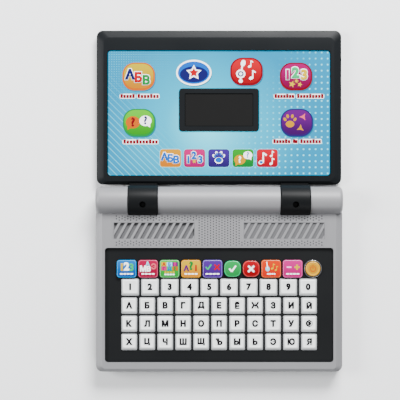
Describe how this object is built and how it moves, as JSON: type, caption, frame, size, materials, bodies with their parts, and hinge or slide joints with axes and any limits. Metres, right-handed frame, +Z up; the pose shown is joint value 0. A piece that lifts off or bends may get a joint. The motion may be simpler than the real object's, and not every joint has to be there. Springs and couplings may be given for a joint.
{
  "type": "toy laptop computer",
  "caption": "Toy laptop lying open flat: silver keyboard half with slotted grille, coloured buttons and dished keys, black lid with a printed plate and small display on barrel hinges.",
  "frame": {"origin": "on the floor, under the middle of the toy as it lies open flat; the hinge axis is directly above it", "axes": "+Z up, +X to the user's right along the hinge axis, +Y from the keyboard half towards the lid"},
  "size_m": [0.231, 0.321, 0.03],
  "materials": {
    "silver_plastic": "fine satin texture",
    "black_plastic": "fine spark texture",
    "panel_plastic": "satin",
    "lid_plastic": "smooth satin",
    "hinge_plastic": "satin",
    "button_ring": "smooth",
    "printed_plate": "printed and laminated",
    "display_glass": "clear window over a dark display",
    "circuit_board": "solder mask",
    "silicone": "translucent grey",
    "rubber": "matt",
    "plated_steel": "zinc plated",
    "speaker_cone": "felted paper",
    "battery_sleeve": "shrink sleeve",
    "key_plastic": "satin",
    "power_button": "glossy",
    "blue_button": "clear cap over print",
    "crimson_button": "clear cap over print",
    "tile_button": "clear cap over print",
    "yellow_button": "clear cap over print",
    "purple_button": "clear cap over print",
    "green_button": "translucent",
    "red_button": "translucent",
    "orange_button": "clear cap over print",
    "pink_button": "clear cap over print"
  },
  "bodies": {
    "base": {"base_top_housing": "silver_plastic", "base_bottom_housing": "black_plastic", "keyboard_panel": "panel_plastic", "battery_door": "black_plastic", "main_circuit_board": "circuit_board", "key_dome_sheet": "silicone", "speaker_frame": "plated_steel", "speaker_cone": "speaker_cone", "speaker_dust_screen": "black_plastic", "power_button_ring": "button_ring", "battery_door_screw": "plated_steel", "hinge_pin_left": "plated_steel", "hinge_pin_right": "plated_steel", "battery_contact_left": "plated_steel", "battery_contact_right": "plated_steel", "base_screw_1": "plated_steel", "rubber_foot_1": "rubber", "battery_cell_1": "battery_sleeve", "base_screw_2": "plated_steel", "rubber_foot_2": "rubber", "battery_cell_2": "battery_sleeve", "base_screw_3": "plated_steel", "rubber_foot_3": "rubber", "battery_cell_3": "battery_sleeve", "base_screw_4": "plated_steel", "rubber_foot_4": "rubber", "battery_cell_4": "battery_sleeve"},
    "lid": {"lid_front_frame": "lid_plastic", "lid_back_cover": "lid_plastic", "screen_label_plate": "printed_plate", "display_bezel": "lid_plastic", "display_glass": "display_glass", "display_board": "circuit_board", "hinge_knuckle_left": "hinge_plastic", "hinge_knuckle_right": "hinge_plastic", "hinge_screw_left": "plated_steel", "hinge_screw_right": "plated_steel"},
    "arithmetic_button_cap": {"arithmetic_button": "blue_button"},
    "alphabet_button_cap": {"alphabet_button": "crimson_button"},
    "tile_words_button_cap": {"tile_words_button": "tile_button"},
    "question_button_cap": {"question_button": "yellow_button"},
    "quiz_button_cap": {"quiz_button": "purple_button"},
    "yes_button_cap": {"yes_button": "green_button"},
    "no_button_cap": {"no_button": "red_button"},
    "music_button_cap": {"music_button": "orange_button"},
    "volume_button_cap": {"volume_button": "pink_button"},
    "power_button_cap": {"power_button": "power_button"},
    "digit_key_1_cap": {"digit_key_1": "key_plastic"},
    "digit_key_2_cap": {"digit_key_2": "key_plastic"},
    "digit_key_3_cap": {"digit_key_3": "key_plastic"},
    "digit_key_4_cap": {"digit_key_4": "key_plastic"},
    "digit_key_5_cap": {"digit_key_5": "key_plastic"},
    "digit_key_6_cap": {"digit_key_6": "key_plastic"},
    "digit_key_7_cap": {"digit_key_7": "key_plastic"},
    "digit_key_8_cap": {"digit_key_8": "key_plastic"},
    "digit_key_9_cap": {"digit_key_9": "key_plastic"},
    "digit_key_0_cap": {"digit_key_0": "key_plastic"},
    "letter_keys_upper_strip": {"letter_keys_upper": "key_plastic"},
    "letter_keys_middle_strip": {"letter_keys_middle": "key_plastic"},
    "letter_keys_lower_strip": {"letter_keys_lower": "key_plastic"}
  },
  "joints": [
    {"name": "lid_hinge", "type": "hinge", "parent": "base", "child": "lid", "pos_m": [0, 0, 0.0155], "axis": [1, 0, 0], "range_deg": [0, 180]},
    {"name": "arithmetic_button_press", "type": "slide", "parent": "base", "child": "arithmetic_button_cap", "axis": [0, 0, -1], "range_m": [0, 0.0015], "stiffness_N_per_m": 150, "springref_m": -0.0008, "deforming": ["key_dome_sheet"]},
    {"name": "alphabet_button_press", "type": "slide", "parent": "base", "child": "alphabet_button_cap", "axis": [0, 0, -1], "range_m": [0, 0.0015], "stiffness_N_per_m": 150, "springref_m": -0.0008, "deforming": ["key_dome_sheet"]},
    {"name": "tile_words_button_press", "type": "slide", "parent": "base", "child": "tile_words_button_cap", "axis": [0, 0, -1], "range_m": [0, 0.0015], "stiffness_N_per_m": 150, "springref_m": -0.0008, "deforming": ["key_dome_sheet"]},
    {"name": "question_button_press", "type": "slide", "parent": "base", "child": "question_button_cap", "axis": [0, 0, -1], "range_m": [0, 0.0015], "stiffness_N_per_m": 150, "springref_m": -0.0008, "deforming": ["key_dome_sheet"]},
    {"name": "quiz_button_press", "type": "slide", "parent": "base", "child": "quiz_button_cap", "axis": [0, 0, -1], "range_m": [0, 0.0015], "stiffness_N_per_m": 150, "springref_m": -0.0008, "deforming": ["key_dome_sheet"]},
    {"name": "yes_button_press", "type": "slide", "parent": "base", "child": "yes_button_cap", "axis": [0, 0, -1], "range_m": [0, 0.0015], "stiffness_N_per_m": 150, "springref_m": -0.0008, "deforming": ["key_dome_sheet"]},
    {"name": "no_button_press", "type": "slide", "parent": "base", "child": "no_button_cap", "axis": [0, 0, -1], "range_m": [0, 0.0015], "stiffness_N_per_m": 150, "springref_m": -0.0008, "deforming": ["key_dome_sheet"]},
    {"name": "music_button_press", "type": "slide", "parent": "base", "child": "music_button_cap", "axis": [0, 0, -1], "range_m": [0, 0.0015], "stiffness_N_per_m": 150, "springref_m": -0.0008, "deforming": ["key_dome_sheet"]},
    {"name": "volume_button_press", "type": "slide", "parent": "base", "child": "volume_button_cap", "axis": [0, 0, -1], "range_m": [0, 0.0015], "stiffness_N_per_m": 150, "springref_m": -0.0008, "deforming": ["key_dome_sheet"]},
    {"name": "power_button_press", "type": "slide", "parent": "base", "child": "power_button_cap", "axis": [0, 0, -1], "range_m": [0, 0.0015], "stiffness_N_per_m": 150, "springref_m": -0.0008, "deforming": ["key_dome_sheet"]},
    {"name": "digit_key_1_press", "type": "slide", "parent": "base", "child": "digit_key_1_cap", "axis": [0, 0, -1], "range_m": [0, 0.0015], "stiffness_N_per_m": 150, "springref_m": -0.0008, "deforming": ["key_dome_sheet"]},
    {"name": "digit_key_2_press", "type": "slide", "parent": "base", "child": "digit_key_2_cap", "axis": [0, 0, -1], "range_m": [0, 0.0015], "stiffness_N_per_m": 150, "springref_m": -0.0008, "deforming": ["key_dome_sheet"]},
    {"name": "digit_key_3_press", "type": "slide", "parent": "base", "child": "digit_key_3_cap", "axis": [0, 0, -1], "range_m": [0, 0.0015], "stiffness_N_per_m": 150, "springref_m": -0.0008, "deforming": ["key_dome_sheet"]},
    {"name": "digit_key_4_press", "type": "slide", "parent": "base", "child": "digit_key_4_cap", "axis": [0, 0, -1], "range_m": [0, 0.0015], "stiffness_N_per_m": 150, "springref_m": -0.0008, "deforming": ["key_dome_sheet"]},
    {"name": "digit_key_5_press", "type": "slide", "parent": "base", "child": "digit_key_5_cap", "axis": [0, 0, -1], "range_m": [0, 0.0015], "stiffness_N_per_m": 150, "springref_m": -0.0008, "deforming": ["key_dome_sheet"]},
    {"name": "digit_key_6_press", "type": "slide", "parent": "base", "child": "digit_key_6_cap", "axis": [0, 0, -1], "range_m": [0, 0.0015], "stiffness_N_per_m": 150, "springref_m": -0.0008, "deforming": ["key_dome_sheet"]},
    {"name": "digit_key_7_press", "type": "slide", "parent": "base", "child": "digit_key_7_cap", "axis": [0, 0, -1], "range_m": [0, 0.0015], "stiffness_N_per_m": 150, "springref_m": -0.0008, "deforming": ["key_dome_sheet"]},
    {"name": "digit_key_8_press", "type": "slide", "parent": "base", "child": "digit_key_8_cap", "axis": [0, 0, -1], "range_m": [0, 0.0015], "stiffness_N_per_m": 150, "springref_m": -0.0008, "deforming": ["key_dome_sheet"]},
    {"name": "digit_key_9_press", "type": "slide", "parent": "base", "child": "digit_key_9_cap", "axis": [0, 0, -1], "range_m": [0, 0.0015], "stiffness_N_per_m": 150, "springref_m": -0.0008, "deforming": ["key_dome_sheet"]},
    {"name": "digit_key_0_press", "type": "slide", "parent": "base", "child": "digit_key_0_cap", "axis": [0, 0, -1], "range_m": [0, 0.0015], "stiffness_N_per_m": 150, "springref_m": -0.0008, "deforming": ["key_dome_sheet"]},
    {"name": "letter_keys_upper_press", "type": "slide", "parent": "base", "child": "letter_keys_upper_strip", "axis": [0, 0, -1], "range_m": [0, 0.0015], "stiffness_N_per_m": 600, "springref_m": -0.0008, "deforming": ["key_dome_sheet"]},
    {"name": "letter_keys_middle_press", "type": "slide", "parent": "base", "child": "letter_keys_middle_strip", "axis": [0, 0, -1], "range_m": [0, 0.0015], "stiffness_N_per_m": 600, "springref_m": -0.0008, "deforming": ["key_dome_sheet"]},
    {"name": "letter_keys_lower_press", "type": "slide", "parent": "base", "child": "letter_keys_lower_strip", "axis": [0, 0, -1], "range_m": [0, 0.0015], "stiffness_N_per_m": 600, "springref_m": -0.0008, "deforming": ["key_dome_sheet"]}
  ]
}
